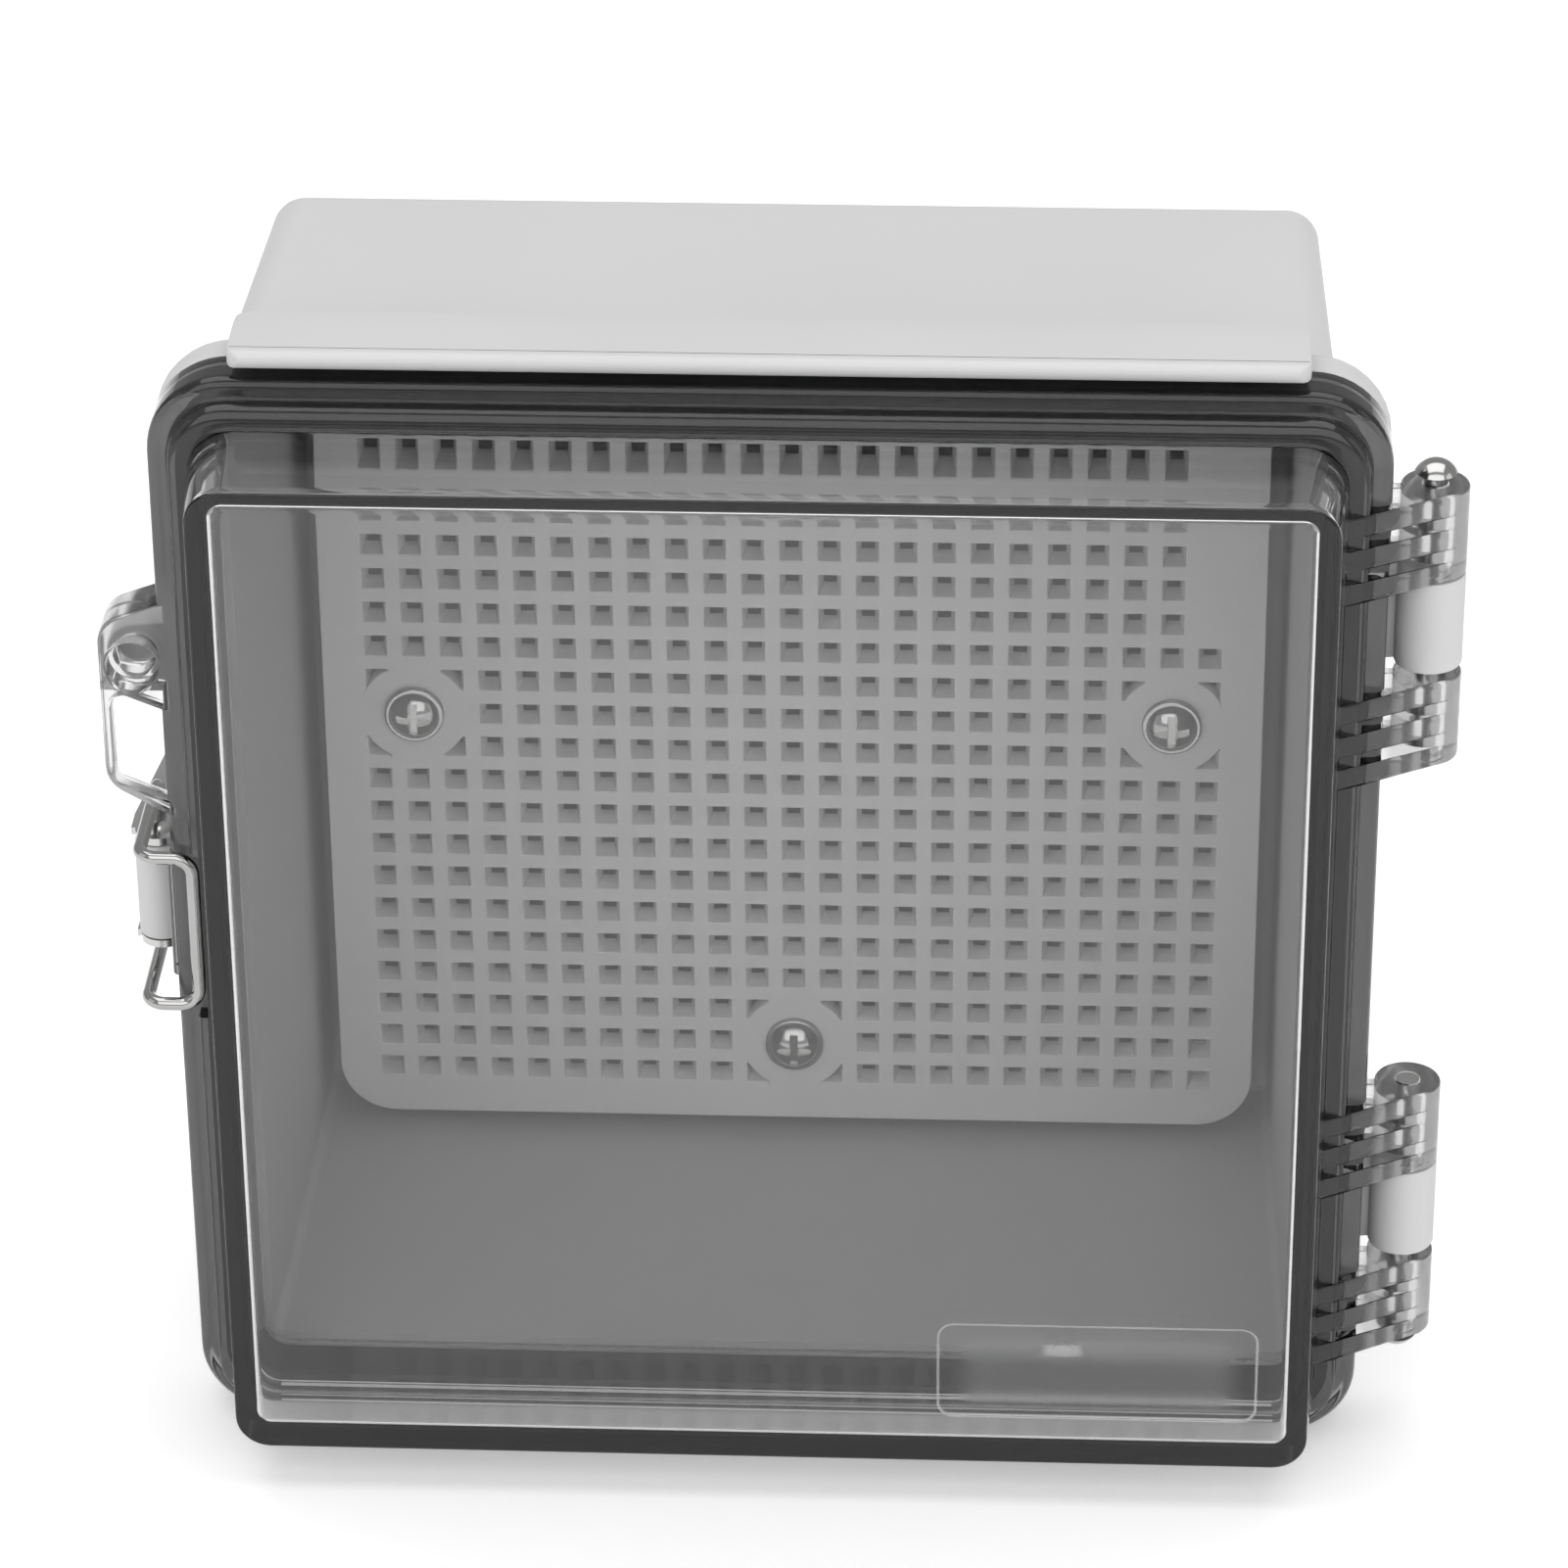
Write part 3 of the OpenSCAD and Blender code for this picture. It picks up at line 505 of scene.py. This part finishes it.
def makeScrew(number):
    node = "plate_screw_%d" % number
    low, high = (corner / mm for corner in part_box(node))
    axis = Vector(((low.x + high.x) / 2, 0, (low.z + high.z) / 2))

    def widenDome(shape):
        for vert in shape.verts:
            away = Vector((vert.co.x / mm, 0, vert.co.z / mm)) - axis
            before = -vert.co.y / mm > screwForm["collarFront"] - slack["wall"]
            if before and away.length < screwForm["domeRadius"]:
                vert.co.x = (axis.x + away.x * screwForm["widen"]) * mm
                vert.co.z = (axis.z + away.z * screwForm["widen"]) * mm

    def screwRounding(middle, edge):
        outward = math.hypot(middle.x - axis.x, middle.z - axis.z)
        ahead = -middle.y - screwForm["collarFront"]
        if abs(ahead) < slack["edge"] and outward > screwForm["rimFrom"]:
            return screwForm["rim"]
        return screwForm["slot"] if ahead > screwForm["slotFrom"] and edge.is_convex else 0

    roundedCopy(node, "head_screw_%d" % number, screwRounding, screwForm["rim"], screwForm["segments"],
                widenDome)


for number in range(1, screwForm["count"] + 1):
    makeScrew(number)


# foamed seal: it wets the groove's walls, so the clear plastic shows it dark

sealForm = {"core": 63.7, "inner": 68.05, "front": 73.45, "frontOuter": 71.35, "press": 0.05}


def makeSeal():
    low, high = (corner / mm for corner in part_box("gasket"))
    middle = (low.y + high.y) / 2
    centre = (high.x + sealForm["inner"]) / 2
    seal = bareCopy("gasket", "foam_seal")
    weld(flatten=False)
    for vert in seal.data.vertices:
        front = vert.co.y / mm < middle
        depth = sealForm["front"] if front else -vert.co.y / mm
        if reachOf(vert.co, sealForm["core"]) > centre:
            outer = sealForm["frontOuter"] if front else grooveMouth(vert.co) + sealForm["press"]
            moveOut(vert, sealForm["core"], outer, depth)
        else:
            moveOut(vert, sealForm["core"], sealForm["inner"], depth)
    bpy.ops.object.shade_smooth_by_angle(angle=math.radians(copying["smooth"]))
    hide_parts("gasket")
    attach(seal, "cover")
    print("seal corners:", len(seal.data.vertices))


makeSeal()


# perforated plate: moulded holes narrow towards the back

plateForm = {"corner": 7.5, "cornerSegments": 10, "pitch": 5, "holeFront": 3.0, "holeBack": 1.7, "reach": 11,
             "solidRows": 9, "screwInset": 12, "disc": 7.2, "discSpare": 3, "discSides": 48,
             "screwHole": 4.1, "boreSides": 32, "spare": 0.5, "endSlack": 0.01,
             "edge": 0.12, "edgeAngle": 55, "smooth": 30}


def selectWhere(piece, test):
    bpy.ops.object.mode_set(mode="OBJECT")
    for vert in piece.data.vertices:
        vert.select = test(vert.co / mm)
    for edge in piece.data.edges:
        edge.select = all(piece.data.vertices[index].select for index in edge.vertices)
    for face in piece.data.polygons:
        face.select = all(piece.data.vertices[index].select for index in face.vertices)
    bpy.ops.object.mode_set(mode="EDIT")


def addBlock(name, low, high):
    bpy.ops.object.select_all(action="DESELECT")
    bpy.ops.mesh.primitive_cube_add(size=1, location=(Vector(low) + Vector(high)) / 2 * mm,
                                    scale=(Vector(high) - Vector(low)) * mm)
    piece = bpy.context.object
    piece.name = name
    bpy.ops.object.transform_apply(location=True, rotation=True, scale=True)
    return piece


def addStuds(name, places, radius, low, high, sides):
    studs = []
    for x, z in places:
        bpy.ops.object.select_all(action="DESELECT")
        bpy.ops.mesh.primitive_cylinder_add(vertices=sides, radius=radius * mm, depth=(high - low) * mm,
                                            location=(x * mm, (low + high) / 2 * mm, z * mm),
                                            rotation=(math.pi / 2, 0, 0))
        studs.append(bpy.context.object)
        bpy.ops.object.transform_apply(location=True, rotation=True, scale=True)
    for stud in studs:
        stud.select_set(True)
    bpy.ops.object.join()
    studs[-1].name = name
    return studs[-1]


def makePlate():
    low, high = (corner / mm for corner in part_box("mounting_plate"))
    spare = plateForm["spare"]
    plate = addBlock("perforated_plate", low, high)
    bpy.ops.object.mode_set(mode="EDIT")
    bpy.ops.mesh.select_mode(type="EDGE")
    bpy.ops.mesh.select_all(action="DESELECT")
    bpy.ops.object.mode_set(mode="OBJECT")
    for edge in plate.data.edges:
        ends = [plate.data.vertices[index].co for index in edge.vertices]
        edge.select = abs(ends[0].y - ends[1].y) > mm
    bpy.ops.object.mode_set(mode="EDIT")
    bpy.ops.mesh.bevel(offset=plateForm["corner"] * mm, segments=plateForm["cornerSegments"], affect="EDGES")
    bpy.ops.object.mode_set(mode="OBJECT")
    # one tapered hole, then the whole grid
    pitch, reach, half = plateForm["pitch"], plateForm["reach"], plateForm["holeFront"] / 2
    corner = Vector((-reach * pitch, low.y, -reach * pitch))
    holes = addBlock("holes", (corner.x - half, low.y - spare, corner.z - half),
                     (corner.x + half, high.y + spare, corner.z + half))
    taper = (plateForm["holeFront"] - plateForm["holeBack"]) / (high.y - low.y)
    for y in (low.y - spare, high.y + spare):
        grow = (plateForm["holeFront"] - taper * (y - low.y)) / plateForm["holeFront"]
        selectWhere(holes, lambda place: abs(place.y - y) < plateForm["endSlack"])
        bpy.ops.transform.resize(value=(grow, 1, grow),
                                 center_override=(corner.x * mm, y * mm, corner.z * mm))
    bpy.ops.object.mode_set(mode="OBJECT")
    for step in ((pitch * mm, 0, 0), (0, 0, pitch * mm)):
        applyModifier(holes, "ARRAY", count=2 * reach + 1, use_relative_offset=False,
                      use_constant_offset=True, constant_offset_displace=step)
    # the last column has no holes in its upper rows
    selectWhere(holes, lambda place: place.x > (reach - 0.5) * pitch
                and place.z > (reach - plateForm["solidRows"] + 0.5) * pitch)
    bpy.ops.mesh.delete(type="VERT")
    bpy.ops.object.mode_set(mode="OBJECT")
    # none round the screws either, only their bores
    out = high.x - plateForm["screwInset"]
    places = [(-out, 0), (out, 0), (0, -out), (0, out)]
    discs = addStuds("discs", places, plateForm["disc"], low.y - plateForm["discSpare"],
                     high.y + plateForm["discSpare"], plateForm["discSides"])
    applyModifier(holes, "BOOLEAN", operation="DIFFERENCE", object=discs, solver="EXACT")
    bores = addStuds("bores", places, plateForm["screwHole"] / 2, low.y - spare, high.y + spare,
                     plateForm["boreSides"])
    activate(holes)
    bores.select_set(True)
    bpy.ops.object.join()
    applyModifier(plate, "BOOLEAN", operation="DIFFERENCE", object=holes, solver="EXACT")
    for spent in (holes, discs):
        bpy.data.objects.remove(spent)
    bpy.ops.object.mode_set(mode="EDIT")
    bpy.ops.mesh.select_all(action="SELECT")
    bpy.ops.mesh.normals_make_consistent(inside=False)
    bpy.ops.object.mode_set(mode="OBJECT")
    applyModifier(plate, "BEVEL", width=plateForm["edge"] * mm, segments=1,
                  angle_limit=math.radians(plateForm["edgeAngle"]), use_clamp_overlap=False)
    bpy.ops.object.shade_smooth_by_angle(angle=math.radians(plateForm["smooth"]))
    plate.data.materials.clear()
    plate.data.materials.append(finishes["plate_plastic"])
    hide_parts("mounting_plate")
    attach(plate, "box")
    print("plate faces:", len(plate.data.polygons))


makePlate()


# camera at the photograph's viewing angle: millimetres, degrees, and the focal length in pixels of the frame

view = {"place": (37.5, -760.7, 406.5), "pitch": 29.25, "yaw": -2.98, "roll": 0.47,
        "focal": 6536, "frame": 1601, "sensor": 36, "nearest": 0.01}
pitch, yaw, roll = (math.radians(view[key]) for key in ("pitch", "yaw", "roll"))
forward = Vector((math.sin(yaw) * math.cos(pitch), math.cos(yaw) * math.cos(pitch), -math.sin(pitch)))
level = Vector((math.cos(yaw), -math.sin(yaw), 0))
down = forward.cross(level)
right = math.cos(roll) * level + math.sin(roll) * down
up = math.sin(roll) * level - math.cos(roll) * down
cameraData = bpy.data.cameras.new("camera")
cameraData.sensor_width = view["sensor"]
cameraData.lens = view["focal"] / view["frame"] * view["sensor"]
cameraData.clip_start = view["nearest"]
camera = bpy.data.objects.new("camera", cameraData)
turn = Matrix((right, up, -forward)).transposed().to_4x4()
camera.matrix_world = Matrix.Translation(Vector(view["place"]) * mm) @ turn
scene.collection.objects.link(camera)
scene.camera = camera
scene.view_settings.view_transform = "Standard"
print("camera set")


# pale floor and soft studio light

studio = {"floorSize": 6, "floorTone": 0.85, "floorMottle": 0.01, "mottleScale": 60, "floorRough": 0.9,
          "floorGlow": 0.25, "room": 0.45, "bounces": 24}
bpy.ops.mesh.primitive_plane_add(size=studio["floorSize"], location=(0, 0, cadBox[0][2]))
floor = bpy.context.object
floor.name = "floor"
bpy.ops.object.transform_apply(location=True)
floorFinish = Finish("floorPaper")
mottle = floorFinish.blend(floorFinish.noise(studio["mottleScale"], detail=3),
                           (studio["floorTone"] - studio["floorMottle"],) * 3,
                           (studio["floorTone"] + studio["floorMottle"],) * 3)
floorFinish.set(Base_Color=mottle, Roughness=studio["floorRough"])
floorFinish.skin.inputs["Emission Color"].default_value = (1, 1, 1, 1)
floorFinish.skin.inputs["Emission Strength"].default_value = studio["floorGlow"]
floor.data.materials.append(floorFinish.material)

world = bpy.data.worlds.new("studio")
world.use_nodes = True
world.node_tree.nodes["Background"].inputs["Color"].default_value = (1, 1, 1, 1)
world.node_tree.nodes["Background"].inputs["Strength"].default_value = studio["room"]
scene.world = world

# each soft box: place and size in metres, radiance
softBoxes = {"above": {"place": (0, 0.1, 1.7), "size": (2.2, 1.6), "glow": 1.8},
             "front": {"place": (0, -1.7, 1.1), "size": (3.0, 1.6), "glow": 1.6},
             "left": {"place": (-1.6, -0.5, 0.5), "size": (0.9, 1.2), "glow": 0.5},
             "right": {"place": (1.6, -0.5, 0.5), "size": (0.9, 1.2), "glow": 0.9}}
for name, box in softBoxes.items():
    lamp = bpy.data.lights.new(name, "AREA")
    lamp.shape = "RECTANGLE"
    lamp.size, lamp.size_y = box["size"]
    lamp.energy = box["glow"] * box["size"][0] * box["size"][1] * math.pi
    holder = bpy.data.objects.new(name, lamp)
    holder.location = box["place"]
    holder.rotation_euler = (-Vector(box["place"])).to_track_quat("-Z", "Y").to_euler()
    scene.collection.objects.link(holder)
scene.cycles.max_bounces = studio["bounces"]
scene.cycles.transmission_bounces = studio["bounces"]
scene.cycles.transparent_max_bounces = studio["bounces"]
print("studio set")
